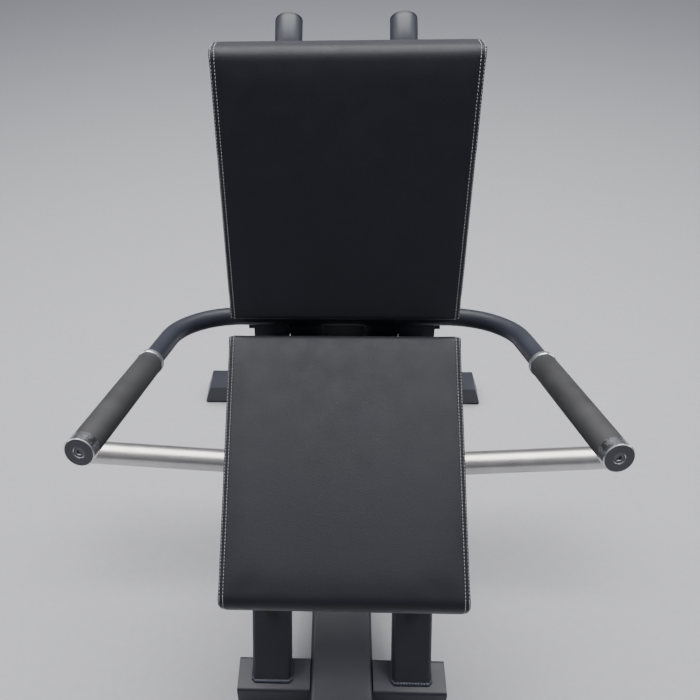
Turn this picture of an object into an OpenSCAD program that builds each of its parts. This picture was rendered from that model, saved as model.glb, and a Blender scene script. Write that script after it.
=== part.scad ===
// Plate-loaded abdominal crunch machine, full size in millimetres.
// Two bodies: the welded frame with the seat, and the lever (backrest, handles, weight horns)
// that swings on one shaft behind the seat.  +Z is up, the user faces -Y, left means -X.

/* [Base] */
// Depth of the front feet and the rear crossmember, front to back
foot_depth = 72; // [60:1:100]
// Height of the base tubes
base_height = 50; // [40:1:80]
// Thickness of the rubber under the base
pad_height = 6; // [3:1:15]
// Width over both front feet
front_width = 402; // [340:2:600]
// Width of the long centre beam
beam_width = 122; // [80:1:160]
// How far the centre beam runs in front of the front feet
beam_front = 257; // [60:1:400]
// Width of the rear crossmember on its top face
rear_width = 716; // [500:2:900]
// Extra width of the rear crossmember at the floor, each side
rear_slope = 16; // [0:1:40]
// Distance from the front feet to the rear crossmember, front face to front face
base_length = 867; // [700:1:1100]

/* [Uprights] */
// Width of each upright across the machine
upright_width = 75; // [50:1:90]
// Depth of each upright
upright_depth = 45; // [40:1:80]
// Distance between the upright centres
upright_spacing = 269; // [240:1:360]
// Backward lean of the uprights in degrees
upright_lean = 31; // [15:1:40]
// Length of each upright along its centre line
upright_length = 590; // [450:5:650]
// Distance from the front feet's front face to the foot of an upright
upright_setback = 18; // [5:1:30]

/* [Seat] */
// Width of the seat cushion at its front edge
seat_width = 370; // [320:2:440]
// Width of the seat cushion at its rear edge
seat_width_rear = 375; // [320:1:440]
// Length of the seat cushion down its slope
seat_length = 424; // [360:1:480]
// Slope of the seat in degrees, front edge lower
seat_slope = 31.5; // [10:0.5:40]
// Thickness of both cushions
cushion_thick = 60; // [40:1:80]
// Thickness of the boards behind the cushions
board_thick = 12; // [9:1:20]

/* [Backrest] */
// Width of the backrest at its lower edge
back_width_low = 370; // [320:1:440]
// Width of the backrest at its upper edge
back_width_top = 389; // [320:1:460]
// Height of the backrest along its face
back_length = 420; // [350:1:600]
// Backward lean of the backrest in degrees
back_lean = 12; // [0:1:25]
// Outer diameter of the two backrest tubes
back_tube_d = 42; // [32:1:50]
// Distance of a backrest tube from the middle
back_tube_x = 87; // [70:0.2:120]

/* [Handle] */
// Outer diameter of the bent handle bar
bar_d = 30; // [25:1:35]
// Bend radius of the handle bar on its centre line
bar_bend_r = 110; // [80:1:140]
// Turn of each handle bend in degrees
bar_turn = 82.4; // [70:0.2:90]
// Rise of the handles towards the front in degrees
bar_rise = 15; // [0:0.5:25]
// Distance from the middle to the corner point of the bend
bar_corner_x = 265; // [220:1:320]
// Straight length from the end of the bend to the outer face of the grip cap
bar_straight = 350; // [300:1:400]
// Outer diameter of the rubber grips
grip_d = 38; // [34:0.5:45]

/* [Weight horns] */
// Horn diameter, the standard for plates with a 50 mm hole
horn_d = 50; // [48:0.5:51]
// Distance from the middle to the outer end of a horn
horn_reach = 570; // [500:1:620]
// Upward tilt of the horns in degrees
horn_tilt = 4.5; // [0:0.5:10]
// Distance from the middle to the plate stop
horn_stop_x = 240; // [200:1:300]

/* [Pivot] */
// Diameter of the pivot shaft
shaft_d = 35; // [25:1:45]
// Radial running clearance between shaft and bearing
shaft_clear = 0.05; // [0.02:0.01:0.1]
// Height of the pivot above the floor
pivot_z = 634; // [560:1:700]

/* [Hidden] */
$fn = 64;
eps = 0.02;
wall = 4;
base_top = pad_height + base_height;
base_mid = pad_height + base_height / 2;
y_front = -3;
y_beam0 = y_front - beam_front;
y_rear = y_front + base_length;
y_back = y_rear + foot_depth;
mid_y = (y_beam0 - 5 + y_back) / 2;
lean_s = sin(upright_lean);
lean_c = cos(upright_lean);
up_y0 = y_front + upright_setback + upright_depth / 2 / lean_c;
up_x = upright_spacing / 2;
seat_y = 218.6;
seat_z = 758.6;
pivot_y = 247;
back_y = 225;
back_z = 772;
ss = sin(seat_slope);
cs = cos(seat_slope);
function seat_pt(a, d) = [seat_y - a * cs + d * ss, seat_z - a * ss - d * cs];
shaft_r = shaft_d / 2;
hub_r = 46;
hub_in = 34;
hub_out = 92;
lug_in = 118;
lug_out = 134;
lug_r = 47;
house_r = 38;
house_in = 94;
bear_r = 26;
bar_y = 292;
bar_z = 735;
bar_r = bar_d / 2;
bend_x = bar_corner_x - bar_bend_r * tan(bar_turn / 2);
cap_len = 18;
collar_len = 8;
collar_at = bar_straight - 265;
grip_from = collar_at + collar_len;
grip_to = bar_straight - cap_len;
tube_r = back_tube_d / 2;
tube_lean = 15.6;
tube_y = 314.4;
tube_z = 690;
tube_len = 440;
tube_bend_r = 80;
tube_bend = 43;
tube_tail = 4;
block_in = 35;
block_out = 91;
block_y = 285.5;
block_top = 720.5;
clamp_in = 92;
clamp_out = 152;
horn_y = 423;
horn_z0 = 220;
horn_beam_x = 120;
horn_beam_w = 60;
arm_w = 50;
arm_x = 65;
arm_dy = horn_y - pivot_y;
arm_dz = pivot_z - horn_z0 - 8;
arm_len = sqrt(arm_dy * arm_dy + arm_dz * arm_dz);
arm_lean = atan(arm_dy / arm_dz);
stop_along = 245;
stop_len = 30.7;
brace_w = 50;

module centred() translate([0, -mid_y, 0]) children();
module side(s) mirror([s < 0 ? 1 : 0, 0, 0]) children();

module rrect(w, h, r) {
  square([w - 2 * r, h], center = true);
  square([w, h - 2 * r], center = true);
  for (i = [-1, 1]) for (j = [-1, 1])
    translate([i * (w / 2 - r), j * (h / 2 - r)]) circle(r, $fn = 32);
}

module box_tube(w, h, len, r = 7) linear_extrude(len) difference() {
  rrect(w, h, r);
  rrect(w - 2 * wall, h - 2 * wall, r - wall + 1);
}

module ring(ro, ri, len) difference() {
  cylinder(r = ro, h = len);
  translate([0, 0, -1]) cylinder(r = ri, h = len + 2);
}

// local frame of the seat: x across, y down the slope towards the front, z above the seat face
module seat_frame() translate([0, seat_y, seat_z]) rotate([seat_slope, 0, 0])
  mirror([0, 1, 0]) children();

// local frame of the backrest: x across, z up its face, y from the face to the back
module back_frame() translate([0, back_y, back_z]) rotate([-back_lean, 0, 0]) children();

// local frame of a backrest tube: z along the tube
module tube_frame() translate([back_tube_x, tube_y, tube_z]) rotate([-tube_lean, 0, 0]) children();

// plane of the handle bar: x across, y along the forward direction
module bar_plane() translate([0, bar_y, bar_z]) rotate([180 - bar_rise, 0, 0]) children();

// start of the straight handle: z runs forward along the handle
module grip_frame() bar_plane() translate([bend_x, bar_bend_r, 0]) rotate([0, 0, bar_turn - 90])
  translate([bar_bend_r, 0, 0]) rotate([-90, 0, 0]) children();

// horn frame: z runs outwards along the horn, origin on the middle plane of the machine
module horn_frame() translate([0, horn_y, horn_z0]) rotate([0, 90 - horn_tilt, 0]) children();

// lever arm frame: z runs from the pivot down to the horn beam
module arm_frame() translate([0, pivot_y, pivot_z]) rotate([180 + arm_lean, 0, 0]) children();

// plates in the side plane: draws in (y, z), extruded along x from x0
module side_plate(x0, t) translate([x0, 0, 0]) rotate([90, 0, 90]) linear_extrude(t) children();

// ---------- base ----------
module base_beam() color("#3a3c40") centred()
  translate([0, y_beam0, base_mid]) rotate([-90, 0, 0])
    box_tube(beam_width, base_height, y_rear - y_beam0, 8);

module base_end_cap() color("#161616") centred() {
  translate([0, y_beam0 - 5, base_mid]) rotate([-90, 0, 0])
    linear_extrude(5) rrect(beam_width, base_height, 8);
  translate([0, y_beam0, base_mid]) rotate([-90, 0, 0])
    linear_extrude(18) rrect(beam_width - 2 * wall - 0.4, base_height - 2 * wall - 0.4, 6);
}

module front_foot(s) color("#3a3c40") centred() side(s) difference() {
  translate([beam_width / 2, y_front + foot_depth / 2, base_mid]) rotate([0, 90, 0])
    linear_extrude((front_width - beam_width) / 2) rrect(base_height, foot_depth, 6);
  translate([beam_width / 2 - 1, y_front + foot_depth / 2, base_mid]) rotate([0, 90, 0])
    linear_extrude((front_width - beam_width) / 2 - wall)
      rrect(base_height - 2 * wall, foot_depth - 2 * wall, 3);
}

module left_front_foot() front_foot(-1);
module right_front_foot() front_foot(1);

module rear_outline(inset) polygon([
  [-rear_width / 2 - rear_slope + inset, pad_height + inset],
  [rear_width / 2 + rear_slope - inset, pad_height + inset],
  [rear_width / 2 - inset, base_top - inset],
  [-rear_width / 2 + inset, base_top - inset]]);

module rear_crossmember() color("#3a3c40") centred() translate([0, y_back, 0])
  rotate([90, 0, 0]) difference() {
    linear_extrude(foot_depth) rear_outline(0);
    translate([0, 0, wall]) linear_extrude(foot_depth - 2 * wall) rear_outline(wall);
  }

module foot_pad(x0, x1, y0, y1) translate([x0, y0, 0]) cube([x1 - x0, y1 - y0, pad_height]);

module front_foot_pads() color("#161616") centred() for (s = [-1, 1]) side(s)
  foot_pad(beam_width / 2 + 20, front_width / 2 - 3, y_front + 3, y_front + foot_depth - 3);

module rear_foot_pads() color("#161616") centred() for (s = [-1, 1]) side(s)
  foot_pad(rear_width / 2 - 190, rear_width / 2 + rear_slope - 2, y_rear + 2, y_back - 2);

module beam_foot_pad() color("#161616") centred()
  foot_pad(-beam_width / 2 + 8, beam_width / 2 - 8, y_beam0 + 6, y_beam0 + 66);

// ---------- uprights and pivot carriers ----------
module upright_frame() translate([up_x, up_y0, base_top]) rotate([-upright_lean, 0, 0]) children();

module upright(s) color("#3a3c40") centred() side(s) difference() {
  upright_frame() difference() {
    translate([0, 0, -50]) linear_extrude(upright_length + 50)
      rrect(upright_width, upright_depth, 8);
    translate([0, 0, -60]) linear_extrude(upright_length + 60 - 8)
      rrect(upright_width - 2 * wall, upright_depth - 2 * wall, 5);
  }
  translate([0, up_y0 - 100, base_top - 100]) cube([300, 300, 100]);
}

module left_upright() upright(-1);
module right_upright() upright(1);

module upright_welds() color("#55575a") centred() for (s = [-1, 1]) side(s) difference() {
  translate([up_x, up_y0, base_top]) {
    w = upright_width / 2 - 4;
    h = upright_depth / 2 / lean_c;
    for (j = [-1, 1]) translate([-w, j * h, 0]) rotate([0, 90, 0]) cylinder(r = 5, h = 2 * w, $fn = 24);
    for (i = [-1, 1]) translate([i * (w + 4), -h + 4, 0]) rotate([-90, 0, 0])
      cylinder(r = 5, h = 2 * h - 8, $fn = 24);
  }
  upright_frame() translate([0, 0, -50]) linear_extrude(200) rrect(upright_width, upright_depth, 8);
  translate([0, -100, base_top - 50]) cube([300, 300, 50]);
}

module upright_bolts() color("#202124") centred() for (s = [-1, 1]) side(s)
  upright_frame() translate([0, -upright_depth / 2, 135]) rotate([90, 0, 0]) {
    cylinder(r = 13, h = 2.5);
    translate([0, 0, 2.5]) cylinder(r = 10, h = 7);
  }

module cross_brace() color("#3a3c40") centred() arm_frame()
  translate([-up_x + upright_width / 2, stop_len + arm_w / 2 + brace_w / 2, stop_along])
    rotate([0, 90, 0]) rotate([0, 0, 90])
      box_tube(brace_w, brace_w, upright_spacing - upright_width, 6);

module stop_bumpers() color("#161616") centred() for (s = [-1, 1]) side(s)
  arm_frame() translate([arm_x, arm_w / 2 + 0.3, stop_along]) rotate([-90, 0, 0])
    cylinder(r = 18, h = stop_len - 0.3);

module pivot_lug(s) color("#3a3c40") centred() side(s) difference() {
  side_plate(lug_in, lug_out - lug_in) {
    translate([pivot_y, pivot_z]) circle(lug_r);
    polygon([[pivot_y + 27.2, pivot_z + 38.3], [up_y0 + lean_s * upright_length + 21.4,
      base_top + lean_c * upright_length - 12.9], [up_y0 + lean_s * upright_length - 21.4,
      base_top + lean_c * upright_length + 12.9], [pivot_y - 27.2, pivot_z - 38.3]]);
    polygon([seat_pt(53, 75), seat_pt(233, 75), seat_pt(233, 112), seat_pt(93, 150)]);
  }
  translate([0, pivot_y, pivot_z]) rotate([0, 90, 0]) cylinder(r = house_r, h = 300);
}

module left_pivot_lug() pivot_lug(-1);
module right_pivot_lug() pivot_lug(1);

module bearing_housing(s) color("#2a2b2e") centred() side(s)
  translate([house_in, pivot_y, pivot_z]) rotate([0, 90, 0])
    ring(house_r, bear_r, lug_out - house_in);

module left_bearing_housing() bearing_housing(-1);
module right_bearing_housing() bearing_housing(1);

module bearing(s) color("#c9ccd0") centred() side(s)
  translate([house_in + 4, pivot_y, pivot_z]) rotate([0, 90, 0])
    ring(bear_r, shaft_r + shaft_clear, lug_out - house_in - 8);

module left_bearing() bearing(-1);
module right_bearing() bearing(1);

// ---------- seat ----------
module seat_rail(s) color("#3a3c40") centred() side(s) seat_frame() difference() {
  translate([lug_out + 20, 80, -cushion_thick - board_thick - 20]) rotate([-90, 0, 0])
    box_tube(40, 40, 318, 5);
  for (y = [130, 350])
    translate([lug_out + 20, y, -cushion_thick - board_thick - 60]) cylinder(r = 4.3, h = 80);
}

module left_seat_rail() seat_rail(-1);
module right_seat_rail() seat_rail(1);

module seat_board() color("#202020") centred() seat_frame()
  translate([-seat_width / 2 + 10, 8, -cushion_thick - board_thick])
    cube([seat_width - 20, seat_length - 16, board_thick]);

module seat_pad() color("#2c2d30") centred() seat_frame()
  translate([0, 0, -cushion_thick]) linear_extrude(cushion_thick) polygon([
    [-seat_width_rear / 2, 0], [seat_width_rear / 2, 0],
    [seat_width / 2, seat_length], [-seat_width / 2, seat_length]]);

module seat_bolts() color("#b5b8bb") centred() seat_frame()
  for (x = [-1, 1]) for (y = [130, 350])
    translate([x * (lug_out + 20), y, -cushion_thick - board_thick - 48]) {
      cylinder(r = 8, h = 8, $fn = 6);
      cylinder(r = 4, h = 47.8);
    }

// ---------- lever: pivot, arms and horns ----------
module pivot_shaft() color("#c9ccd0") centred()
  translate([-142, pivot_y, pivot_z]) rotate([0, 90, 0]) cylinder(r = shaft_r, h = 284);

module shaft_nuts() color("#b5b8bb") centred() for (s = [-1, 1]) side(s)
  translate([lug_out + 1, pivot_y, pivot_z]) rotate([0, 90, 0]) {
    ring(24, shaft_r, 3);
    translate([0, 0, 3]) difference() {
      cylinder(r = 22, h = 9, $fn = 6);
      translate([0, 0, -1]) cylinder(r = shaft_r, h = 6);
    }
  }

module hub(s) color("#2a2b2e") centred() side(s)
  translate([hub_in, pivot_y, pivot_z]) rotate([0, 90, 0]) ring(hub_r, shaft_r, hub_out - hub_in);

module left_hub() hub(-1);
module right_hub() hub(1);

module lever_arm(s) color("#3a3c40") centred() side(s) difference() {
  arm_frame() translate([arm_x, 0, 20]) rotate([0, 0, 0]) box_tube(arm_w, arm_w, arm_len - 20, 6);
  translate([0, pivot_y, pivot_z]) rotate([0, 90, 0]) cylinder(r = hub_r, h = 300);
  horn_beam_cut();
}

module left_lever_arm() lever_arm(-1);
module right_lever_arm() lever_arm(1);

module horn_beam_cut() translate([-200, horn_y - horn_beam_w / 2, horn_z0 + 8 - horn_beam_w / 2 - 40])
  cube([400, horn_beam_w + 60, horn_beam_w + 40]);

module horn_beam() color("#3a3c40") centred()
  translate([-horn_beam_x, horn_y, horn_z0 + 8]) rotate([0, 90, 0])
    box_tube(horn_beam_w, horn_beam_w, 2 * horn_beam_x, 6);

module horn(s) color("#d4d6d8") centred() side(s) difference() {
  horn_frame() difference() {
    union() {
      translate([0, 0, 90]) cylinder(r = horn_d / 2 - 1, h = horn_stop_x - 80);
      translate([0, 0, horn_stop_x])
        cylinder(r = horn_d / 2, h = horn_reach / cos(horn_tilt) - 12 - horn_stop_x);
    }
    translate([0, 0, 140]) cylinder(r = horn_d / 2 - 5, h = horn_reach);
  }
  translate([0, horn_y - 50, horn_z0 - 60]) cube([horn_beam_x, 100, 160]);
}

module left_horn() horn(-1);
module right_horn() horn(1);

module horn_stop(s) color("#d4d6d8") centred() side(s)
  horn_frame() translate([0, 0, horn_stop_x - 10]) ring(48, horn_d / 2 - 1, 10);

module left_horn_stop() horn_stop(-1);
module right_horn_stop() horn_stop(1);

module horn_cap(s) color("#d8d8d6") centred() side(s) horn_frame() {
  translate([0, 0, horn_reach / cos(horn_tilt) - 12]) cylinder(r = horn_d / 2, h = 12);
  translate([0, 0, horn_reach / cos(horn_tilt) - 30]) cylinder(r = horn_d / 2 - 5, h = 18 + eps);
}

module left_horn_cap() horn_cap(-1);
module right_horn_cap() horn_cap(1);

// ---------- lever: backrest ----------
module weld_cuts() {
  translate([0, bar_y, bar_z]) rotate([0, 90, 0]) cylinder(r = bar_r, h = 300);
  tube_frame() translate([0, 0, -60]) cylinder(r = tube_r, h = 300);
}

// block that joins a hub, the handle bar and a backrest tube; its long edges are rounded
module cheek_block(s) color("#3a3c40") centred() side(s) difference() {
  intersection() {
    side_plate(block_in, block_out - block_in) polygon([
      [pivot_y + 27, pivot_z + 34], [pivot_y + 36, pivot_z + 56], [block_y, block_top - 20.5],
      [block_y, block_top], [block_y + 52, block_top], [tube_y + 18, tube_z - 14],
      [pivot_y + 44, pivot_z + 8]]);
    translate([(block_in + block_out) / 2, 500, block_top - 100]) rotate([90, 0, 0])
      linear_extrude(500) rrect(block_out - block_in, 200, 8);
  }
  translate([0, pivot_y, pivot_z]) rotate([0, 90, 0]) cylinder(r = hub_r, h = 300);
  weld_cuts();
}

module left_cheek_block() cheek_block(-1);
module right_cheek_block() cheek_block(1);

module cheek_tie() color("#3a3c40") centred()
  translate([-block_in, block_y + 34, block_top - 28]) rotate([0, 90, 0])
    box_tube(32, 30, 2 * block_in, 5);

// block under the handle bar beside each backrest tube, with the end of its clamp screw
module handle_clamp(s) color("#3a3c40") centred() side(s) {
  difference() {
    translate([(clamp_in + clamp_out) / 2, block_y + 24, block_top - 14.5]) rotate([90, 0, 0])
      linear_extrude(24) rrect(clamp_out - clamp_in, 29, 3);
    weld_cuts();
  }
  translate([clamp_out - eps, block_y + 6, block_top - 7]) rotate([0, 90, 0])
    cylinder(r = 3.5, h = 9, $fn = 24);
}

module left_handle_clamp() handle_clamp(-1);
module right_handle_clamp() handle_clamp(1);

module back_tube(s) color("#3f4145") centred() side(s) tube_frame() {
  difference() {
    cylinder(r = tube_r, h = tube_len);
    translate([0, 0, wall]) cylinder(r = tube_r - wall, h = tube_len);
  }
  translate([0, tube_bend_r, tube_len]) rotate([0, 0, 90]) rotate([90, 0, 0]) mirror([1, 0, 0])
    rotate_extrude(angle = tube_bend) translate([tube_bend_r, 0]) difference() {
      circle(tube_r);
      circle(tube_r - wall);
    }
}

module left_back_tube() back_tube(-1);
module right_back_tube() back_tube(1);

module tube_cap(s) color("#1b1c1e") centred() side(s) tube_frame()
  translate([0, tube_bend_r * (1 - cos(tube_bend)), tube_len + tube_bend_r * sin(tube_bend)])
    rotate([-tube_bend, 0, 0]) cylinder(r = tube_r, h = tube_tail);

module tube_caps() { tube_cap(-1); tube_cap(1); }

module back_bracket(z0, h, depth) difference() {
  back_frame() translate([-128, cushion_thick + board_thick, z0]) cube([256, depth, h]);
  for (s = [-1, 1]) side(s) tube_frame() translate([0, 0, -100]) cylinder(r = tube_r, h = 700);
}

module lower_back_bracket() color("#3a3c40") centred() back_bracket(60, 40, 34);
module upper_back_bracket() color("#3a3c40") centred() back_bracket(300, 40, 48);

module back_board() color("#202020") centred() back_frame()
  translate([-(back_width_low / 2 - 10), cushion_thick, 8])
    cube([back_width_low - 20, board_thick, back_length - 16]);

module back_pad() color("#2c2d30") centred() back_frame() translate([0, cushion_thick, 0])
  rotate([90, 0, 0]) linear_extrude(cushion_thick) polygon([
    [-back_width_low / 2, 0], [back_width_low / 2, 0],
    [back_width_top / 2, back_length], [-back_width_top / 2, back_length]]);

module back_bolts() color("#b5b8bb") centred() back_frame()
  for (x = [-50, 50]) for (i = [0, 1])
    translate([x, cushion_thick + board_thick + [34, 48][i], [80, 320][i]]) rotate([-90, 0, 0])
      cylinder(r = 9, h = 7, $fn = 6);

// ---------- lever: handle bar ----------
module handle_crossbar() color("#3f4145") centred() difference() {
  translate([-bend_x, bar_y, bar_z]) rotate([0, 90, 0]) cylinder(r = bar_r, h = 2 * bend_x);
  for (s = [-1, 1]) side(s) tube_frame() cylinder(r = tube_r, h = 200);
}

module handle_bar(s) color("#3f4145") centred() side(s) {
  bar_plane() translate([bend_x, bar_bend_r, 0]) rotate([0, 0, -90])
    rotate_extrude(angle = bar_turn) translate([bar_bend_r, 0]) circle(bar_r);
  grip_frame() cylinder(r = bar_r, h = bar_straight - 8);
}

module left_handle_bar() handle_bar(-1);
module right_handle_bar() handle_bar(1);

module handle_collar(s) color("#d8d8d6") centred() side(s)
  grip_frame() translate([0, 0, collar_at]) ring(grip_d / 2 + 1, bar_r, collar_len);

module handle_collars() { handle_collar(-1); handle_collar(1); }

module grip(s) color("#2b2d2d") centred() side(s)
  grip_frame() translate([0, 0, grip_from]) ring(grip_d / 2, bar_r, grip_to - grip_from);

module left_grip() grip(-1);
module right_grip() grip(1);

module grip_cap(s) color("#d8d8d6") centred() side(s)
  grip_frame() translate([0, 0, grip_to]) difference() {
    cylinder(r = grip_d / 2 + 0.8, h = cap_len);
    translate([0, 0, -1]) cylinder(r = bar_r, h = 11);
    translate([0, 0, cap_len - 5]) cylinder(r = 7.5, h = 6);
    cylinder(r = 4, h = cap_len + 1);
  }

module left_grip_cap() grip_cap(-1);
module right_grip_cap() grip_cap(1);

module cap_screw(s) color("#9a9c9e") centred() side(s)
  grip_frame() translate([0, 0, grip_to]) difference() {
    union() {
      translate([0, 0, 10]) cylinder(r = 4, h = 4);
      translate([0, 0, cap_len - 5]) cylinder(r = 7.5, h = 4.5);
    }
    translate([0, 0, cap_len - 3.5]) cylinder(r = 4, h = 5, $fn = 6);
  }

module cap_screws() { cap_screw(-1); cap_screw(1); }

base_beam();
base_end_cap();
left_front_foot();
right_front_foot();
rear_crossmember();
front_foot_pads();
rear_foot_pads();
beam_foot_pad();
left_upright();
right_upright();
upright_welds();
upright_bolts();
cross_brace();
stop_bumpers();
left_pivot_lug();
right_pivot_lug();
left_bearing_housing();
right_bearing_housing();
left_bearing();
right_bearing();
left_seat_rail();
right_seat_rail();
seat_board();
seat_pad();
seat_bolts();
pivot_shaft();
shaft_nuts();
left_hub();
right_hub();
left_lever_arm();
right_lever_arm();
horn_beam();
left_horn();
right_horn();
left_horn_stop();
right_horn_stop();
left_horn_cap();
right_horn_cap();
left_cheek_block();
right_cheek_block();
cheek_tie();
left_back_tube();
right_back_tube();
tube_caps();
lower_back_bracket();
upper_back_bracket();
back_board();
back_pad();
back_bolts();
left_handle_clamp();
right_handle_clamp();
handle_crossbar();
left_handle_bar();
right_handle_bar();
handle_collars();
left_grip();
right_grip();
left_grip_cap();
right_grip_cap();
cap_screws();
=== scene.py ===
"""Looks of a plate-loaded crunch machine: cushions, paint, brushed horns, grips, welds."""

import math
import random

import bmesh
import bpy
import numpy as np
from mathutils import Matrix, Vector
from mathutils.bvhtree import BVHTree


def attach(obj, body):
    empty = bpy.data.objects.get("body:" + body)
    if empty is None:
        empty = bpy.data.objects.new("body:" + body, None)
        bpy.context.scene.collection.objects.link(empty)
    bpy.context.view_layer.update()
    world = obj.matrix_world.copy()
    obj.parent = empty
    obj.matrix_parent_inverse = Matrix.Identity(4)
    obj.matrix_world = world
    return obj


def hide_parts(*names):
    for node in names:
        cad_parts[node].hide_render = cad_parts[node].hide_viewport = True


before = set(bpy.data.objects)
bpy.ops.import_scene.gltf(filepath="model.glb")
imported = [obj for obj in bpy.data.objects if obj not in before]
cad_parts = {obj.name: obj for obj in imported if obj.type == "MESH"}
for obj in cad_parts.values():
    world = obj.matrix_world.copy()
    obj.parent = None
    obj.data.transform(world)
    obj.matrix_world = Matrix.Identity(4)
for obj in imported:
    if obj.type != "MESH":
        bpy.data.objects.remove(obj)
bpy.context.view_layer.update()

bl_info = {
    "name": "Crunch machine looks",
    "version": (1, 0, 0),
    "blender": (4, 5, 0),
    "location": "3D View > Sidebar > Crunch machine",
    "description": "Upholstery, paint, metal and rubber finishes for a plate-loaded crunch machine",
    "category": "Object",
}

MM = 0.001
ORIGIN_Y = 335.5  # front feet to the middle of the machine, in millimetres
SEAT_SLOPE = math.radians(31.5)
BACK_LEAN = math.radians(12.0)
SEAT_REAR = Vector((0.0, 218.6 - ORIGIN_Y, 758.6)) * MM
BACK_FOOT = Vector((0.0, 225.0 - ORIGIN_Y, 772.0)) * MM
SEAT_LENGTH = 0.424
SEAT_FRONT = 0.370
SEAT_BACK = 0.375
BACK_LENGTH = 0.420
BACK_LOW = 0.370
BACK_TOP = 0.389
PAD_THICK = 0.060
HEEL = 0.008
CORNER_STEPS = 10
SHRINK = 0.0010
FOAM_SHARE = 0.5
SLACK = 0.0004
FOAM_GRID = 0.005
CLOTH_STEPS = 20
AIR_PRESSURE = 4.0
EVENING_ROUNDS = 24
SEAM_REACH = 0.010
SEAM_DEPTH = 0.0011
SEAM_WIDTH = 0.0022
PUCKER_DEPTH = 0.0002
PUCKER_WIDTH = 0.006
PUCKER_TURNS = 620.0
UPRIGHT_LEAN = math.radians(31.0)
UPRIGHT_WIDTH = 0.075
UPRIGHT_DEPTH = 0.045
UPRIGHT_X = 0.1345
UPRIGHT_FOOT_Y = 15.0
BASE_TOP = 0.056
BEAD_CORNER = 0.006
BEAD_STEP = 0.0011
HORN_TILT = math.radians(4.5)
HORN_REACH = 0.570
HORN_HEIGHT = 0.220
HORN_Y = 423.0
HANDLE_TURN = math.radians(82.4)
HANDLE_RISE = math.radians(15.0)
HANDLE_BEND = 0.110
HANDLE_CORNER = 0.265
HANDLE_HEIGHT = 0.735
HANDLE_Y = 292.0
HANDLE_REACH = 0.350
GRIP_RADIUS = 0.019
SENSOR_WIDTH = 36.0
FRAME_WIDTH = 700
FOCAL = 845.924

FRAME_STEEL = (
    "base_beam left_front_foot right_front_foot rear_crossmember left_upright right_upright "
    "cross_brace left_pivot_lug right_pivot_lug left_seat_rail right_seat_rail left_lever_arm "
    "right_lever_arm horn_beam left_cheek_block right_cheek_block cheek_tie left_handle_clamp "
    "right_handle_clamp lower_back_bracket upper_back_bracket"
).split()
PAINTED_TUBES = (
    "left_back_tube right_back_tube handle_crossbar left_handle_bar right_handle_bar"
).split()
BLACK_STEEL = "upright_bolts left_bearing_housing right_bearing_housing left_hub right_hub".split()
BRIGHT_STEEL = "left_bearing right_bearing pivot_shaft shaft_nuts seat_bolts back_bolts".split()
RUBBER_PADS = "front_foot_pads rear_foot_pads beam_foot_pad stop_bumpers".split()


class CrunchSizes(bpy.types.PropertyGroup):
    """Sizes of the upholstery, stitching and small finishes."""

    roll: bpy.props.FloatProperty(
        name="Rolled end", description="Radius of the rolled cushion ends",
        default=0.018, unit="LENGTH",
    )
    tight: bpy.props.FloatProperty(
        name="Tight end", description="Radius of the ends where the cushions meet",
        default=0.005, unit="LENGTH",
    )
    edge: bpy.props.FloatProperty(
        name="Side edge", description="Radius of the cushion's long front edges",
        default=0.0045, unit="LENGTH",
    )
    crown: bpy.props.FloatProperty(
        name="Crown", description="How far a cushion may swell", default=0.006, unit="LENGTH"
    )
    seam_inset: bpy.props.FloatProperty(
        name="Seam inset", description="Seam to the cushion's side",
        default=0.0078, unit="LENGTH",
    )
    row_gap: bpy.props.FloatProperty(
        name="Row gap", description="Distance between the two stitch rows",
        default=0.0056, unit="LENGTH",
    )
    stitch_pitch: bpy.props.FloatProperty(
        name="Stitch pitch", description="Distance from stitch to stitch",
        default=0.0050, unit="LENGTH",
    )
    stitch_length: bpy.props.FloatProperty(
        name="Stitch length", description="Visible length of one stitch",
        default=0.0033, unit="LENGTH",
    )
    thread: bpy.props.FloatProperty(
        name="Thread", description="Thread thickness", default=0.0011, unit="LENGTH"
    )
    bead: bpy.props.FloatProperty(
        name="Weld bead", description="Half width of a weld bead", default=0.0048, unit="LENGTH"
    )


def shade(name, text, value):
    return bpy.props.FloatVectorProperty(
        name=name, description=text, subtype="COLOR", size=4,
        min=0.0, max=1.0, default=(*value, 1.0),
    )


class CrunchColours(bpy.types.PropertyGroup):
    """Colours of the finishes."""

    leather: shade("Leatherette", "Cushion covers", (0.0082, 0.0094, 0.0145))
    thread: shade("Thread", "Top stitching", (0.37, 0.36, 0.37))
    paint: shade("Frame paint", "Powder coat on the frame and lever", (0.021, 0.023, 0.033))
    rubber: shade("Rubber", "Grips and feet", (0.031, 0.031, 0.034))
    floor: shade("Floor", "Studio floor", (0.44, 0.44, 0.47))


# ---------------------------------------------------------------- shared helpers


def finish_material(name, colour, rough, metal=0.0):
    """A new material with its shader, ready for a finish to be built on."""
    material = bpy.data.materials.new(name)
    material.use_nodes = True
    tree = material.node_tree
    shader = tree.nodes["Principled BSDF"]
    shader.inputs["Base Color"].default_value = tuple(colour)
    shader.inputs["Roughness"].default_value = rough
    shader.inputs["Metallic"].default_value = metal
    return material, tree, shader


def node(tree, kind, **values):
    """Adds a node; values with a capital are inputs, others are settings."""
    made = tree.nodes.new(kind)
    for key, value in values.items():
        if key[0].isupper():
            made.inputs[key.replace("_", " ")].default_value = value
        else:
            setattr(made, key, value)
    return made


def place_coords(tree, stretch=(1.0, 1.0, 1.0)):
    """Object coordinates in metres, stretched along each axis."""
    coords = node(tree, "ShaderNodeTexCoord")
    mapping = node(tree, "ShaderNodeMapping")
    mapping.inputs["Scale"].default_value = stretch
    tree.links.new(coords.outputs["Object"], mapping.inputs["Vector"])
    return mapping.outputs["Vector"]


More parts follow.
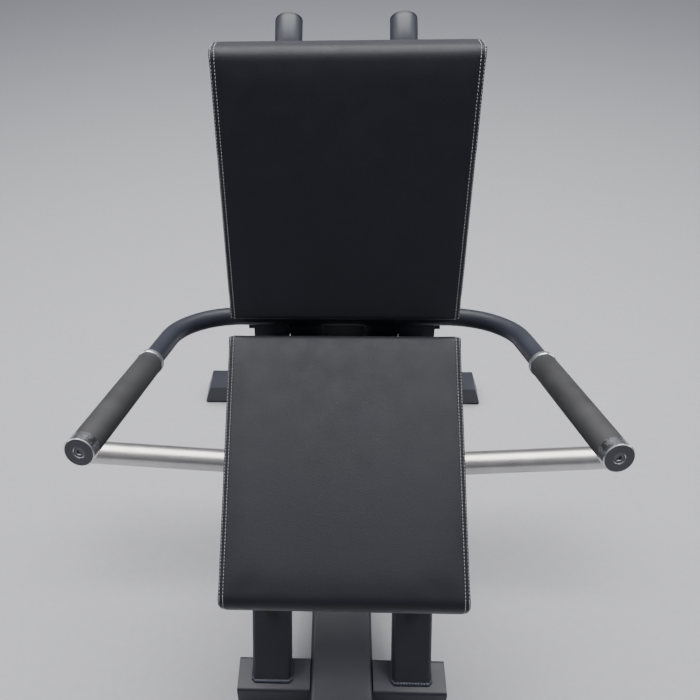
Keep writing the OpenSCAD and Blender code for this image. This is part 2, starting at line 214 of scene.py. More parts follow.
def noise(tree, vector, scale, detail=3.0, rough=0.5):
    made = node(tree, "ShaderNodeTexNoise", Scale=scale, Detail=detail, Roughness=rough)
    tree.links.new(vector, made.inputs["Vector"])
    return made.outputs["Fac"]


def ramp(tree, factor, low, high, stops=(0.3, 0.7)):
    """Maps factor onto a run between two greys or colours."""
    made = node(tree, "ShaderNodeValToRGB")
    for stop, place, value in zip(made.color_ramp.elements, stops, (low, high)):
        stop.position = place
        stop.color = value if isinstance(value, tuple) else (value, value, value, 1.0)
    tree.links.new(factor, made.inputs["Fac"])
    return made.outputs["Color"]


def add_bump(tree, shader, height, strength, distance, before=None):
    made = node(tree, "ShaderNodeBump", Strength=strength, Distance=distance)
    tree.links.new(height, made.inputs["Height"])
    if before is not None:
        tree.links.new(before, made.inputs["Normal"])
    tree.links.new(made.outputs["Normal"], shader.inputs["Normal"])
    return made.outputs["Normal"]


def tinted(colour, factor):
    return tuple(min(1.0, c * factor) for c in colour[:3]) + (1.0,)


def give(obj, material):
    obj.data.materials.clear()
    obj.data.materials.append(material)


def finish_nodes(names, material, bevel=0.0):
    """Puts a finish on CAD nodes, with their sharp edges eased by a small bevel."""
    for name in names:
        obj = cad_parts[name]
        give(obj, material)
        if bevel:
            easing = obj.modifiers.new("eased edges", "BEVEL")
            easing.width = bevel
            easing.segments = 2
            easing.limit_method = "ANGLE"
            easing.angle_limit = math.radians(40)
            easing.harden_normals = True


def new_object(name, mesh, matrix=None):
    obj = bpy.data.objects.new(name, mesh)
    bpy.context.scene.collection.objects.link(obj)
    if matrix is not None:
        obj.matrix_world = matrix
    return obj


def mesh_from(name, bm, smooth=True):
    mesh = bpy.data.meshes.new(name)
    bmesh.ops.recalc_face_normals(bm, faces=bm.faces)
    bm.to_mesh(mesh)
    bm.free()
    for face in mesh.polygons:
        face.use_smooth = smooth
    return mesh


def loft(bm, rings):
    """Skins a row of point rings of equal length, and fills the two ends."""
    rows = [[bm.verts.new(p) for p in ring] for ring in rings]
    count = len(rows[0])
    for a, b in zip(rows, rows[1:]):
        for i in range(count):
            j = (i + 1) % count
            bm.faces.new((a[i], a[j], b[j], b[i]))
    bm.faces.new(rows[0][::-1])
    bm.faces.new(rows[-1])


def turned(name, profile, matrix, around=64):
    """A piece turned on a lathe from (radius, height) points, about local Z."""
    bm = bmesh.new()
    previous = None
    for radius, height in profile:
        if radius < 1e-6:
            ring = [bm.verts.new((0, 0, height))]
        else:
            ring = [
                bm.verts.new(
                    (
                        radius * math.cos(2 * math.pi * i / around),
                        radius * math.sin(2 * math.pi * i / around),
                        height,
                    )
                )
                for i in range(around)
            ]
        if previous is not None:
            for i in range(around):
                j = (i + 1) % around
                if len(previous) == 1:
                    bm.faces.new((previous[0], ring[i], ring[j]))
                elif len(ring) == 1:
                    bm.faces.new((previous[i], previous[j], ring[0]))
                else:
                    bm.faces.new((previous[i], previous[j], ring[j], ring[i]))
        previous = ring
    obj = new_object(name, mesh_from(name, bm), matrix)
    crisp_edges(obj)
    return obj


def crisp_edges(obj, degrees=35):
    """Keeps flat faces flat beside rounded ones."""
    bm = bmesh.new()
    bm.from_mesh(obj.data)
    for edge in bm.edges:
        if len(edge.link_faces) == 2 and edge.calc_face_angle() > math.radians(degrees):
            edge.smooth = False
    bm.to_mesh(obj.data)
    bm.free()


def axes_matrix(origin, x, y, z):
    matrix = Matrix((x, y, z)).transposed().to_4x4()
    matrix.translation = origin
    return matrix


def evaluated(obj):
    """The object's mesh with its modifiers worked in."""
    graph = bpy.context.evaluated_depsgraph_get()
    return bpy.data.meshes.new_from_object(obj.evaluated_get(graph))


def work_in(obj):
    """Applies all the object's modifiers to its mesh."""
    mesh = evaluated(obj)
    obj.modifiers.clear()
    old = obj.data
    obj.data = mesh
    bpy.data.meshes.remove(old)


def straight_handle(side):
    """Matrix of the straight part of a handle: local Z runs forward along it."""
    start_x = HANDLE_CORNER - HANDLE_BEND * math.tan(HANDLE_TURN / 2)
    across = start_x + HANDLE_BEND * math.sin(HANDLE_TURN)
    along = HANDLE_BEND * (1 - math.cos(HANDLE_TURN))
    forward = Vector((0, -math.cos(HANDLE_RISE), math.sin(HANDLE_RISE)))
    origin = Vector((side * across, (HANDLE_Y - ORIGIN_Y) * MM, HANDLE_HEIGHT)) + forward * along
    outward = Vector((side, 0, 0)) * math.cos(HANDLE_TURN)
    z = (outward + forward * math.sin(HANDLE_TURN)).normalized()
    x = Vector((0, 0, 1)).cross(z).normalized()
    return axes_matrix(origin, x, z.cross(x), z)


def horn_matrix(side):
    """Matrix of a horn: local Z runs outwards along it from the middle of the machine."""
    z = Vector((side * math.cos(HORN_TILT), 0, math.sin(HORN_TILT)))
    x = Vector((0, 1, 0))
    return axes_matrix(Vector((0, (HORN_Y - ORIGIN_Y) * MM, HORN_HEIGHT)), x, z.cross(x), z)


# ---------------------------------------------------------------- finishes


def powder_coat(name, colour, rough=0.42):
    """Satin powder coat: fine orange peel and faint mottling."""
    material, tree, shader = finish_material(name, colour, rough)
    where = place_coords(tree)
    peel = noise(tree, where, 900.0, 2.0)
    broad = noise(tree, where, 14.0, 5.0, 0.6)
    tone = ramp(tree, broad, tinted(colour, 0.86), tinted(colour, 1.18))
    tree.links.new(tone, shader.inputs["Base Color"])
    tree.links.new(ramp(tree, broad, rough - 0.05, rough + 0.08), shader.inputs["Roughness"])
    shader.inputs["Specular IOR Level"].default_value = 0.5
    shader.inputs["Coat Weight"].default_value = 0.15
    shader.inputs["Coat Roughness"].default_value = 0.35
    add_bump(tree, shader, peel, 0.12, 0.0004)
    return material


def leatherette(name, colour):
    """Fine-grained coated cover: pebbled grain, soft creases, slight sheen."""
    material, tree, shader = finish_material(name, colour, 0.50)
    where = place_coords(tree)
    grain = node(tree, "ShaderNodeTexVoronoi", Scale=620.0)
    tree.links.new(where, grain.inputs["Vector"])
    fine = noise(tree, where, 1400.0, 3.0)
    creases = noise(tree, where, 26.0, 6.0, 0.62)
    broad = noise(tree, where, 5.0, 3.0)
    tone = ramp(tree, broad, tinted(colour, 0.88), tinted(colour, 1.14))
    tree.links.new(tone, shader.inputs["Base Color"])
    tree.links.new(ramp(tree, creases, 0.46, 0.58), shader.inputs["Roughness"])
    shader.inputs["Specular IOR Level"].default_value = 0.36
    shader.inputs["Sheen Weight"].default_value = 0.10
    shader.inputs["Sheen Roughness"].default_value = 0.45
    first = add_bump(tree, shader, grain.outputs["Distance"], 0.30, 0.0004)
    second = add_bump(tree, shader, fine, 0.10, 0.0002, first)
    add_bump(tree, shader, creases, 0.16, 0.0012, second)
    return material


def brushed_metal(name, colour, rough, stretch, depth=0.08):
    """Brushed metal with long fine scratches across the given stretch."""
    material, tree, shader = finish_material(name, colour, rough, 1.0)
    lines = noise(tree, place_coords(tree, stretch), 1.0, 3.0, 0.7)
    smudges = noise(tree, place_coords(tree), 18.0, 4.0, 0.6)
    tree.links.new(ramp(tree, lines, rough - 0.07, rough + 0.09), shader.inputs["Roughness"])
    tree.links.new(
        ramp(tree, smudges, tinted(colour, 0.86), tinted(colour, 1.06)), shader.inputs["Base Color"]
    )
    add_bump(tree, shader, lines, depth, 0.0003)
    return material


def turned_aluminium(name):
    """Turned aluminium: fine concentric tool marks about the piece's own axis."""
    material, tree, shader = finish_material(name, (0.74, 0.74, 0.75, 1), 0.24, 1.0)
    rings = node(
        tree, "ShaderNodeTexWave", wave_type="RINGS", rings_direction="Z",
        Scale=210.0, Distortion=0.6, Detail=3.0,
    )
    tree.links.new(place_coords(tree), rings.inputs["Vector"])
    tree.links.new(ramp(tree, rings.outputs["Fac"], 0.17, 0.36), shader.inputs["Roughness"])
    add_bump(tree, shader, rings.outputs["Fac"], 0.08, 0.0002)
    return material


def faced_aluminium(name):
    """The dull faced end of a turned cap, with its concentric cutter marks."""
    material, tree, shader = finish_material(name, (0.16, 0.16, 0.17, 1), 0.36, 1.0)
    rings = node(
        tree, "ShaderNodeTexWave", wave_type="RINGS", rings_direction="Z",
        Scale=160.0, Distortion=0.4, Detail=2.0,
    )
    tree.links.new(place_coords(tree), rings.inputs["Vector"])
    tree.links.new(
        ramp(tree, rings.outputs["Fac"], (0.11, 0.11, 0.12, 1.0), (0.24, 0.24, 0.25, 1.0)),
        shader.inputs["Base Color"],
    )
    add_bump(tree, shader, rings.outputs["Fac"], 0.25, 0.0003)
    return material


def face_end(obj, material):
    """Gives the flat outer end of a turned piece its own finish."""
    obj.data.materials.append(material)
    for face in obj.data.polygons:
        if face.normal.z > 0.99:
            face.material_index = 1


def soft_rubber(name, colour, rough=0.72):
    """Matt rubber with a fine closed-cell grain and handling marks."""
    material, tree, shader = finish_material(name, colour, rough)
    where = place_coords(tree)
    cells = noise(tree, where, 1600.0, 2.0)
    worn = noise(tree, where, 22.0, 5.0, 0.6)
    tree.links.new(
        ramp(tree, worn, tinted(colour, 0.85), tinted(colour, 1.35)), shader.inputs["Base Color"]
    )
    tree.links.new(ramp(tree, worn, rough - 0.08, rough + 0.08), shader.inputs["Roughness"])
    shader.inputs["Specular IOR Level"].default_value = 0.42
    add_bump(tree, shader, cells, 0.25, 0.0003)
    return material


def board_finish(name):
    """Black-stained plywood under the cushions."""
    material, tree, shader = finish_material(name, (0.015, 0.014, 0.013, 1), 0.7)
    lines = noise(tree, place_coords(tree, (6.0, 90.0, 90.0)), 4.0, 6.0, 0.65)
    tree.links.new(
        ramp(tree, lines, (0.010, 0.009, 0.008, 1.0), (0.030, 0.026, 0.022, 1.0)),
        shader.inputs["Base Color"],
    )
    add_bump(tree, shader, lines, 0.25, 0.0006)
    return material


# ---------------------------------------------------------------- cushions


def side_profile(length, ends, inset):
    """Outline of a cushion seen from its side, as (y, z, ny, nz); ends are its two front radii."""
    first, last = ends
    corners = [
        (first, -first, first, 180.0, 90.0),
        (length - last, -last, last, 90.0, 0.0),
        (length - HEEL, -PAD_THICK + HEEL, HEEL, 0.0, -90.0),
        (HEEL, -PAD_THICK + HEEL, HEEL, -90.0, -180.0),
    ]
    points = []
    for cy, cz, radius, start, end in corners:
        for i in range(CORNER_STEPS + 1):
            angle = math.radians(start + (end - start) * i / CORNER_STEPS)
            ny, nz = math.cos(angle), math.sin(angle)
            reach = radius - inset
            points.append((cy + reach * ny, cz + reach * nz, ny, nz))
    return points


def cushion_blank(name, low, top, length, ends, sizes):
    """The cushion's foam block, slightly under size so that it can swell."""
    bm = bmesh.new()
    rings = []
    edge = sizes.edge
    stations = [edge * (1 - math.cos(math.radians(a))) for a in range(0, 91, 15)]
    insets = [edge * (1 - math.sin(math.radians(a))) for a in range(0, 91, 15)]
    for side in (-1, 1):
        pairs = list(zip(stations, insets))
        if side > 0:
            pairs = pairs[::-1]
        for away, inset in pairs:
            ring = []
            for y, z, ny, nz in side_profile(length, ends, inset + SHRINK):
                width = low + (top - low) * y / length
                ring.append((side * (width / 2 - SHRINK - away), y, z))
            rings.append(ring)
    loft(bm, rings)
    obj = new_object(name, mesh_from(name, bm))
    grid = obj.modifiers.new("even grid", "REMESH")
    grid.mode = "VOXEL"
    grid.voxel_size = FOAM_GRID
    work_in(obj)
    return obj


def swell(obj, cap):
    """Fills the cover like foam: cloth under pressure, held at the board and capped."""
    start = coordinates(obj.data)
    held = obj.vertex_groups.new(name="held")
    for v in obj.data.vertices:
        depth = (v.co.z + PAD_THICK) / PAD_THICK
        hold = 1.0 if depth < 0.3 else max(0.0, 0.5 - depth * 0.5)
        if hold > 0:
            held.add([v.index], hold, "REPLACE")
    cloth = obj.modifiers.new("cover", "CLOTH")
    cover = cloth.settings
    cover.quality = 5
    cover.mass = 0.3
    cover.tension_stiffness = 40.0
    cover.compression_stiffness = 40.0
    cover.shear_stiffness = 20.0
    cover.bending_stiffness = 6.0
    cover.use_pressure = True
    cover.uniform_pressure_force = AIR_PRESSURE
    cover.vertex_group_mass = "held"
    cover.effector_weights.gravity = 0.0
    scene = bpy.context.scene
    for step in range(1, CLOTH_STEPS + 1):
        scene.frame_set(step)
    swollen = evaluated(obj)
    moves = coordinates(swollen) - start
    far = np.linalg.norm(moves, axis=1, keepdims=True)
    moves *= np.minimum(1.0, cap / np.maximum(far, 1e-9))
    moves = FOAM_SHARE * evened(obj.data, moves, EVENING_ROUNDS)
    obj.modifiers.clear()
    obj.data.vertices.foreach_set("co", (start + moves).ravel())
    obj.data.update()
    scene.frame_set(1)
    bpy.data.meshes.remove(swollen)


def fit_to_board(obj, low, top, length):
    """Stretches the filled cushion to its full length, width and thickness."""
    points = coordinates(obj.data)
    for axis, start, end in ((1, SLACK, length - SLACK), (2, -PAD_THICK + SLACK, -SLACK)):
        values = points[:, axis]
        span = values.max() - values.min()
        points[:, axis] = start + (values - values.min()) * (end - start) / span
    half = (low + (top - low) * points[:, 1] / length) / 2 - SLACK
    points[:, 0] /= (np.abs(points[:, 0]) / half).max()
    obj.data.vertices.foreach_set("co", points.ravel())
    obj.data.update()


def coordinates(mesh):
    points = np.empty(len(mesh.vertices) * 3, dtype=np.float32)
    mesh.vertices.foreach_get("co", points)
    return points.reshape(-1, 3).astype(float)


def evened(mesh, moves, rounds):
    """Spreads the moves over their neighbours, so that firm foam shows no creases."""
    ends = np.empty(len(mesh.edges) * 2, dtype=np.int32)
    mesh.edges.foreach_get("vertices", ends)
    a, b = ends.reshape(-1, 2).T
    shared = np.bincount(ends, minlength=len(moves))[:, None]
    for _ in range(rounds):
        total = np.zeros_like(moves)
        np.add.at(total, a, moves[b])
        np.add.at(total, b, moves[a])
        moves = 0.5 * moves + 0.5 * total / np.maximum(shared, 1)
    return moves


def seam_at(y, low, top, length, inset):
    return (low + (top - low) * min(max(y / length, 0), 1)) / 2 - inset


def press_seams(obj, low, top, length, sizes):
    """Sinks the two long seams into the cover and puckers the leather beside them."""
    normals = [v.normal.copy() for v in obj.data.vertices]
    for v, normal in zip(obj.data.vertices, normals):
        if v.co.z < -PAD_THICK * 0.9 or normal.z < -0.2:
            continue
        away = abs(abs(v.co.x) - seam_at(v.co.y, low, top, length, sizes.seam_inset))
        if away < SEAM_REACH and abs(normal.x) < 0.9:
            sink = SEAM_DEPTH * math.exp(-((away / SEAM_WIDTH) ** 2))
            wave = PUCKER_DEPTH * math.sin(v.co.y * PUCKER_TURNS)
            pucker = wave * math.exp(-((away / PUCKER_WIDTH) ** 2))
            v.co -= normal * (sink + pucker)


def cover_point(tree, seam_x, y, z, ny, nz):
    """Point on the cover under (y, z), looking in along the side profile's normal."""
    start = Vector((seam_x, y + ny * 0.05, z + nz * 0.05))
    hit, normal, _, _ = tree.ray_cast(start, Vector((0, -ny, -nz)), 0.1)
    return hit, normal


def stitch_rows(name, obj, tree, low, top, length, ends, sizes, side, offset):
    """One row of thread stitches along a seam, over both rolled ends."""
    path = side_profile(length, ends, 0.0)[: 2 * (CORNER_STEPS + 1)]
    bm = bmesh.new()
    walked, target = 0.0, 0.0
    places = []
    lead = (path[0][0], -PAD_THICK * 0.75, path[0][2], path[0][3])
    tail = (path[-1][0], -PAD_THICK * 0.75, path[-1][2], path[-1][3])
    path = [lead] + path + [tail]
    for a, b in zip(path, path[1:]):
        span = math.hypot(b[0] - a[0], b[1] - a[1])
        while target <= walked + span and span > 0:
            t = (target - walked) / span
            places.append([a[k] + (b[k] - a[k]) * t for k in range(4)])
            target += sizes.stitch_pitch
        walked += span
    rng = random.Random(int(1000 * abs(offset)) + side)
    for i, (y, z, ny, nz) in enumerate(places[:-1]):
        along = Vector((0, places[i + 1][0] - y, places[i + 1][1] - z)).normalized()
        x = side * (seam_at(y, low, top, length, sizes.seam_inset) + offset)
        hit, normal = cover_point(tree, x, y, z, ny, nz)
        if hit is None:
            continue
        along = (along - normal * along.dot(normal)).normalized()
        across = normal.cross(along)
        along = (along + across * rng.uniform(-0.04, 0.10)).normalized()
        half = sizes.stitch_length / 2
        rings = []
        for t in (-1.0, -0.7, -0.25, 0.25, 0.7, 1.0):
            lift = sizes.thread * (0.42 * (1 - t * t) - 0.12)
            wide = sizes.thread * 0.5 * (1.0 - 0.45 * abs(t) ** 3)
            centre = hit + along * (half * t) + normal * lift
            rings.append(
                [
                    centre + across * (wide * math.cos(a)) + normal * (wide * 0.8 * math.sin(a))
                    for a in [math.pi / 3 * k for k in range(6)]
                ]
            )
        loft(bm, rings)
    return new_object(name, mesh_from(name, bm), obj.matrix_world)


def cushion(name, node_name, body, matrix, low, top, length, ends, sizes, colours):
    """One upholstered cushion with its two double-stitched seams."""
    obj = cushion_blank(name, low, top, length, ends, sizes)
    swell(obj, sizes.crown)
    finer = obj.modifiers.new("finer", "SUBSURF")
    finer.levels = 1
    finer.render_levels = 1
    work_in(obj)
    press_seams(obj, low, top, length, sizes)
    for face in obj.data.polygons:
        face.use_smooth = True
    fit_to_board(obj, low, top, length)
    give(obj, leatherette(name + " cover", colours.leather))
    obj.matrix_world = Matrix.Identity(4)
    bpy.context.view_layer.update()
    thread = thread_finish(colours.thread)
    tree = BVHTree.FromObject(obj, bpy.context.evaluated_depsgraph_get())
    rows = []
    for side, word in ((-1, "left"), (1, "right")):
        for offset, place in ((-sizes.row_gap / 2, "inner"), (sizes.row_gap / 2, "outer")):
            row = stitch_rows(
                f"{name}_{word}_{place}_stitches",
                obj, tree, low, top, length, ends, sizes, side, offset,
            )
            give(row, thread)
            rows.append(row)
    obj.matrix_world = matrix
    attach(obj, body)
    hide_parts(node_name)
    for row in rows:
        row.matrix_world = matrix
        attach(row, body)


def thread_finish(colour):
    """Twisted polyester thread."""
    found = bpy.data.materials.get("stitching thread")
    if found:
        return found
    material, tree, shader = finish_material("stitching thread", colour, 0.62)
    twist = node(tree, "ShaderNodeTexWave", Scale=900.0, Distortion=2.0, bands_direction="DIAGONAL")
    tree.links.new(place_coords(tree), twist.inputs["Vector"])
    tree.links.new(
        ramp(tree, twist.outputs["Fac"], tinted(colour, 0.7), tinted(colour, 1.15)),
        shader.inputs["Base Color"],
    )
    shader.inputs["Sheen Weight"].default_value = 0.2
    return material


# ---------------------------------------------------------------- welds


def weld_bead(path, outward, half, seed):
    """A rippled weld bead along path, with its legs down on both plates."""
    rng = random.Random(seed)
    up = Vector((0, 0, 1))
    bm = bmesh.new()
    rings = []
    total = sum((b - a).length for a, b in zip(path, path[1:]))
    count = max(6, int(total / BEAD_STEP))
    for n in range(count + 1):
        place = total * n / count
        for a, b in zip(path, path[1:]):
            span = (b - a).length
            if place <= span or b is path[-1]:
                point = a.lerp(b, min(1.0, place / span))
                break
            place -= span
        ripple = 0.84 + 0.22 * abs(math.sin(math.pi * n / 5.0)) + rng.uniform(-0.05, 0.05)
        fade = min(1.0, 0.55 + min(n, count - n) * 0.15)
        size = half * ripple * fade
        ring = []
        for k in range(10):
            a = math.pi * 2 * k / 10
            sideways = outward * (size * 0.95 * math.cos(a))
            ring.append(point + sideways + up * (size * 0.8 * math.sin(a)))
        rings.append(ring)
    loft(bm, rings)
    return mesh_from("bead", bm)


def add_bead(bm, path, outward, half, seed):
    """Adds one bead to the mesh being built."""
    piece = weld_bead(path, outward, half, seed)
    bm.from_mesh(piece)
    bpy.data.meshes.remove(piece)


# ---------------------------------------------------------------- operators


class CRUNCH_OT_stage(bpy.types.Operator):
    """Pale floor, soft studio lights and the camera"""

    bl_idname = "crunch.stage"
    bl_label = "Stage, lights and camera"

    def execute(self, context):
        colours = context.scene.crunch_colours
        bm = bmesh.new()
        bmesh.ops.create_grid(bm, x_segments=8, y_segments=8, size=9.0)
        floor = new_object("studio_floor", mesh_from("studio_floor", bm, False))
        floor.location = (0, 3.0, 0)
        material, tree, shader = finish_material("studio floor", colours.floor, 0.6)
        tone = noise(tree, place_coords(tree), 60.0, 4.0)
        tree.links.new(
            ramp(tree, tone, tinted(colours.floor, 0.97), tinted(colours.floor, 1.03)),
            shader.inputs["Base Color"],
        )
        give(floor, material)

        world = bpy.data.worlds.new("studio")
        context.scene.world = world
        world.use_nodes = True
        sky = world.node_tree.nodes["Background"]
        tree = world.node_tree
        height = node(tree, "ShaderNodeSeparateXYZ")
        tree.links.new(node(tree, "ShaderNodeTexCoord").outputs["Generated"], height.inputs[0])
        tone = ramp(
            tree, height.outputs["Z"],
            (0.10, 0.105, 0.12, 1.0), (0.36, 0.37, 0.41, 1.0), (0.05, 0.75),
        )
        tree.links.new(tone, sky.inputs["Color"])
        sky.inputs["Strength"].default_value = 1.0
        soft_light("ceiling_light", (0.0, 0.5, 3.0), (0, 0.5, 0.0), 3.6, 2.6, 190)
        soft_light("left_fill", (-2.8, 0.2, 2.0), (0, 0, 0.6), 1.2, 1.6, 16)
        soft_light("right_fill", (2.8, 0.2, 2.0), (0, 0, 0.6), 1.2, 1.6, 16)

        eye = Vector((-8.07, -840.03 - ORIGIN_Y, 1593.28)) * MM
        pitch, yaw, roll = math.radians(39.199), math.radians(-3.307), math.radians(1.782)
        look = Vector(
            (math.sin(yaw) * math.cos(pitch), math.cos(yaw) * math.cos(pitch), -math.sin(pitch))
        )
        right = Vector((math.cos(yaw), -math.sin(yaw), 0))
        down = look.cross(right)
        level_right = math.cos(roll) * right + math.sin(roll) * down
        level_down = -math.sin(roll) * right + math.cos(roll) * down
        lens = bpy.data.cameras.new("view")
        lens.sensor_width = SENSOR_WIDTH
        lens.lens = FOCAL / FRAME_WIDTH * SENSOR_WIDTH
        lens.shift_x = 48.72 / FRAME_WIDTH
        lens.shift_y = -3.19 / FRAME_WIDTH
        camera = bpy.data.objects.new("view", lens)
        context.scene.collection.objects.link(camera)
        camera.matrix_world = axes_matrix(eye, level_right, -level_down, -look)
        context.scene.camera = camera
        return {"FINISHED"}


def soft_light(name, place, aim, wide, tall, watts):
    data = bpy.data.lights.new(name, "AREA")
    data.shape = "RECTANGLE"
    data.size, data.size_y = wide, tall
    data.energy = watts
    data.color = (1.0, 0.99, 0.98)
    light = bpy.data.objects.new(name, data)
    bpy.context.scene.collection.objects.link(light)
    light.location = place
    light.rotation_euler = (Vector(aim) - Vector(place)).to_track_quat("-Z", "Y").to_euler()


class CRUNCH_OT_steelwork(bpy.types.Operator):
    """Powder coat, black steel, bright steel, rubber and board finishes on the CAD nodes"""

    bl_idname = "crunch.steelwork"
    bl_label = "Steelwork finishes"

    def execute(self, context):
        colours = context.scene.crunch_colours
        paint = powder_coat("frame powder coat", colours.paint)
        # The tube coat is the frame paint made 15 per cent lighter: painted light standing for the
        # overhead light on the round tubes' tops.
        tube = powder_coat("tube coat lightened as painted light", tinted(colours.paint, 1.15))
        black = powder_coat("black steel", (0.016, 0.016, 0.018, 1), 0.36)
        bright = brushed_metal("zinc plated steel", (0.55, 0.55, 0.56, 1), 0.34, (300, 300, 300))
        rubber = soft_rubber("foot rubber", tinted(colours.rubber, 0.35), 0.8)
        plastic = soft_rubber("cap plastic", tinted(colours.rubber, 0.4), 0.45)
        finish_nodes(FRAME_STEEL, paint, 0.0012)
        finish_nodes(PAINTED_TUBES, tube)
        finish_nodes(BLACK_STEEL, black, 0.0008)
        finish_nodes(BRIGHT_STEEL, bright, 0.0006)
        finish_nodes(RUBBER_PADS, rubber, 0.0010)
        finish_nodes(["base_end_cap", "tube_caps"], plastic, 0.0012)
        finish_nodes(["seat_board", "back_board"], board_finish("stained plywood"), 0.0010)
        return {"FINISHED"}


class CRUNCH_OT_seat_cushion(bpy.types.Operator):
    """Seat cushion with its seams and stitching"""

    bl_idname = "crunch.seat_cushion"
    bl_label = "Seat cushion"

    def execute(self, context):
        sizes, colours = context.scene.crunch_sizes, context.scene.crunch_colours
        up_slope = Vector((0, math.cos(SEAT_SLOPE), math.sin(SEAT_SLOPE)))
        outward = Vector((0, -math.sin(SEAT_SLOPE), math.cos(SEAT_SLOPE)))
        origin = SEAT_REAR - up_slope * SEAT_LENGTH
        matrix = axes_matrix(origin, Vector((1, 0, 0)), up_slope, outward)
        cushion(
            "seat_cushion", "seat_pad", "frame", matrix, SEAT_FRONT, SEAT_BACK, SEAT_LENGTH,
            (sizes.roll, sizes.tight), sizes, colours,
        )
        return {"FINISHED"}


class CRUNCH_OT_back_cushion(bpy.types.Operator):
    """Backrest cushion with its seams and stitching"""

    bl_idname = "crunch.back_cushion"
    bl_label = "Backrest cushion"

    def execute(self, context):
        sizes, colours = context.scene.crunch_sizes, context.scene.crunch_colours
        up_face = Vector((0, math.sin(BACK_LEAN), math.cos(BACK_LEAN)))
        outward = Vector((0, -math.cos(BACK_LEAN), math.sin(BACK_LEAN)))
        matrix = axes_matrix(BACK_FOOT, Vector((1, 0, 0)), up_face, outward)
        cushion(
            "back_cushion", "back_pad", "lever", matrix, BACK_LOW, BACK_TOP, BACK_LENGTH,
            (sizes.tight, sizes.roll), sizes, colours,
        )
        return {"FINISHED"}


class CRUNCH_OT_handles(bpy.types.Operator):
    """Rubber grips, aluminium collars, caps and their screws"""

    bl_idname = "crunch.handles"
    bl_label = "Handle grips and caps"

    def execute(self, context):
        colours = context.scene.crunch_colours
        rubber = soft_rubber("grip rubber", colours.rubber, 0.62)
        metal = turned_aluminium("turned aluminium")
        faced = faced_aluminium("faced aluminium")
        screw_steel = brushed_metal("screw steel", (0.30, 0.30, 0.31, 1), 0.30, (200, 200, 200))
        reach, cap, collar, bar = HANDLE_REACH, 0.018, 0.008, 0.015
        collar_at = reach - 0.265
        grip_from, grip_to = collar_at + collar, reach - cap
        radius = GRIP_RADIUS
        for side, word in ((-1, "left"), (1, "right")):
            matrix = straight_handle(side)
            grip = turned(
                f"{word}_rubber_grip",
                [(bar, grip_from), (radius - 0.0016, grip_from),
                 (radius - 0.0004, grip_from + 0.0006),
                 (radius, grip_from + 0.002), (radius + 0.0002, (grip_from + grip_to) / 2),
                 (radius, grip_to - 0.002), (radius - 0.0004, grip_to - 0.0006),
                 (radius - 0.0016, grip_to), (bar, grip_to)],
                matrix,
            )
            finish_piece(grip, rubber, "lever", "grip_rubber", f"{word}_grip")
            ring = turned(
                f"{word}_collar",
                [(bar, collar_at), (radius - 0.0004, collar_at),
                 (radius + 0.0010, collar_at + 0.0012),
                 (radius + 0.0010, collar_at + collar - 0.0010), (radius, collar_at + collar),
                 (bar, collar_at + collar)],
                matrix,
            )
            finish_piece(ring, metal, "lever", "turned_aluminium", "handle_collars")
            face = radius + 0.0008
            end = turned(
                f"{word}_end_cap",
                [(bar, grip_to), (face - 0.0006, grip_to), (face, grip_to + 0.0007),
                 (face, reach - 0.0014), (face - 0.0014, reach), (0.0078, reach),
                 (0.0070, reach - 0.0008), (0.0068, reach - 0.0045), (0.0, reach - 0.0045)],
                matrix,
            )
            finish_piece(end, metal, "lever", "turned_aluminium", f"{word}_grip_cap")
            face_end(end, faced)
            seat = matrix @ Matrix.Translation((0, 0, reach - 0.0044))
            screw = socket_screw(f"{word}_socket_screw", seat)
            finish_piece(screw, screw_steel, "lever", "bright_steel", "cap_screws")
        return {"FINISHED"}


def socket_screw(name, matrix):
    """Cap screw head with a chamfered rim and a hexagon socket."""
    bm = bmesh.new()
    rim = 48

    def circle(radius, height):
        turns = [2 * math.pi * i / rim for i in range(rim)]
        return [Vector((radius * math.cos(a), radius * math.sin(a), height)) for a in turns]

    def hexagon(flat, height):
        ring = []
        for i in range(rim):
            a = 2 * math.pi * i / rim
            sector = (a % (math.pi / 3)) - math.pi / 6
            r = flat / math.cos(sector)
            ring.append(Vector((r * math.cos(a), r * math.sin(a), height)))
        return ring

    rings = [circle(0.0064, 0.0), circle(0.0064, 0.0028)]
    rings += [circle(0.0059, 0.0034), circle(0.0042, 0.0034)]
    rings += [hexagon(0.0033, 0.0034), hexagon(0.0030, 0.0030), hexagon(0.0030, 0.0008)]
    loft(bm, rings)
    obj = new_object(name, mesh_from(name, bm), matrix)
    crisp_edges(obj, 25)
    return obj


def finish_piece(obj, material, body, slot, *replaced):
    give(obj, material)
    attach(obj, body)
    if replaced:
        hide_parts(*replaced)


class CRUNCH_OT_horns(bpy.types.Operator):
    """Brushed stainless weight horns, plate stops and end caps"""

    bl_idname = "crunch.horns"
    bl_label = "Weight horns"

    def execute(self, context):
        steel = brushed_metal(
            "brushed stainless", (0.62, 0.60, 0.58, 1), 0.34, (5.0, 600.0, 600.0), 0.02
        )
        metal = bpy.data.materials.get("turned aluminium") or turned_aluminium("turned aluminium")
        reach = HORN_REACH / math.cos(HORN_TILT)
        for side, word in ((-1, "left"), (1, "right")):
            matrix = horn_matrix(side)
            finish_nodes([f"{word}_horn"], steel)
            disc = turned(
                f"{word}_plate_stop",
                [(0.025, 0.230), (0.0465, 0.230), (0.048, 0.2315), (0.048, 0.2385), (0.0465, 0.240),
                 (0.0285, 0.240), (0.0265, 0.2412), (0.025, 0.2425)],
                matrix,
            )
            finish_piece(disc, metal, "lever", "stainless", f"{word}_horn_stop")
            end = turned(
                f"{word}_horn_end",
                [(0.0200, reach - 0.030), (0.0200, reach - 0.012), (0.0250, reach - 0.012),
                 (0.0250, reach - 0.0025), (0.0225, reach), (0.0060, reach),
                 (0.0050, reach - 0.0010),
                 (0.0, reach - 0.0010)],
                matrix,
            )
            finish_piece(end, metal, "lever", "turned_aluminium", f"{word}_horn_cap")
            face_end(end, bpy.data.materials["faced aluminium"])
        return {"FINISHED"}


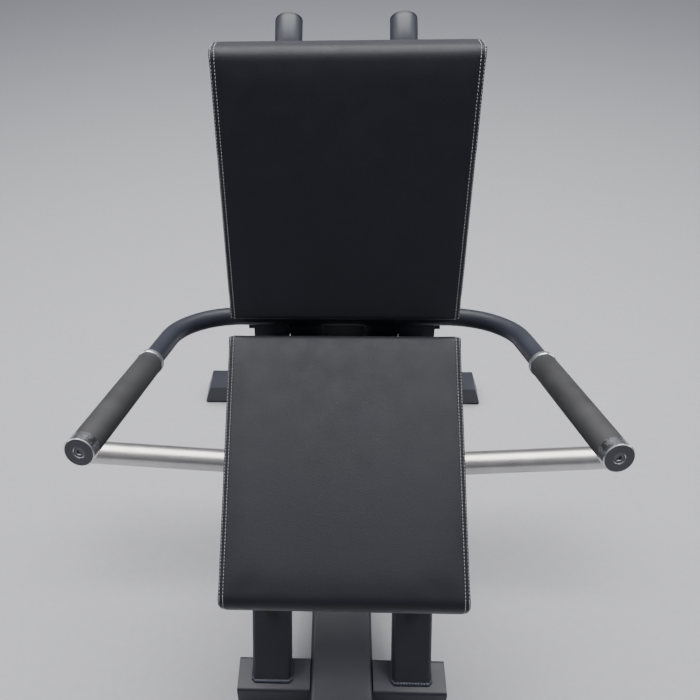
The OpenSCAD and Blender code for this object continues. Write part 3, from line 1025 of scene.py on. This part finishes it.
class CRUNCH_OT_welds(bpy.types.Operator):
    """Painted weld beads round the feet of the uprights"""

    bl_idname = "crunch.welds"
    bl_label = "Weld beads"

    def execute(self, context):
        sizes, colours = context.scene.crunch_sizes, context.scene.crunch_colours
        # The bead paint is the frame paint at twice its brightness: a painted highlight standing
        # for the light the raised beads catch.
        paint = powder_coat("weld paint with painted highlight", tinted(colours.paint, 2.0), 0.32)
        half = sizes.bead
        bm = bmesh.new()
        z = BASE_TOP + half * 0.25
        foot_y0 = (UPRIGHT_FOOT_Y - ORIGIN_Y) * MM
        foot_y1 = foot_y0 + UPRIGHT_DEPTH / math.cos(UPRIGHT_LEAN)
        for side in (-1, 1):
            x0 = side * (UPRIGHT_X - UPRIGHT_WIDTH / 2)
            x1 = side * (UPRIGHT_X + UPRIGHT_WIDTH / 2)
            loop = []
            for cx, cy in ((x0, foot_y0), (x1, foot_y0), (x1, foot_y1), (x0, foot_y1)):
                sx = 1 if cx == max(x0, x1) else -1
                sy = 1 if cy == foot_y1 else -1
                loop.append(
                    Vector((cx - sx * BEAD_CORNER * 0.3, cy - sy * BEAD_CORNER * 0.3, z))
                )
            loop.append(loop[0].copy())
            for a, b in zip(loop, loop[1:]):
                along = (b - a).normalized()
                out = along.cross(Vector((0, 0, 1)))
                add_bead(bm, [a, b], out, half, 11 + side)
        beads = new_object("upright_weld_beads", mesh_from("upright_weld_beads", bm))
        finish_piece(beads, paint, "frame", "weld_bead", "upright_welds")
        return {"FINISHED"}


class CRUNCH_PT_panel(bpy.types.Panel):
    """Steps that dress the machine, in order"""

    bl_idname = "CRUNCH_PT_panel"
    bl_label = "Crunch machine"
    bl_space_type = "VIEW_3D"
    bl_region_type = "UI"
    bl_category = "Crunch machine"

    def draw(self, context):
        for step in STEPS:
            self.layout.operator(step.bl_idname)
        for group in (context.scene.crunch_sizes, context.scene.crunch_colours):
            for name in group.__annotations__:
                self.layout.prop(group, name)


STEPS = (
    CRUNCH_OT_stage,
    CRUNCH_OT_steelwork,
    CRUNCH_OT_seat_cushion,
    CRUNCH_OT_back_cushion,
    CRUNCH_OT_handles,
    CRUNCH_OT_horns,
    CRUNCH_OT_welds,
)
CLASSES = (CrunchSizes, CrunchColours, *STEPS, CRUNCH_PT_panel)


def register():
    for item in CLASSES:
        bpy.utils.register_class(item)
    bpy.types.Scene.crunch_sizes = bpy.props.PointerProperty(type=CrunchSizes)
    bpy.types.Scene.crunch_colours = bpy.props.PointerProperty(type=CrunchColours)


def unregister():
    del bpy.types.Scene.crunch_colours
    del bpy.types.Scene.crunch_sizes
    for item in reversed(CLASSES):
        bpy.utils.unregister_class(item)


def main():
    register()
    for step in STEPS:
        area, action = step.bl_idname.split(".")
        getattr(getattr(bpy.ops, area), action)()


if __name__ == "__main__":
    main()
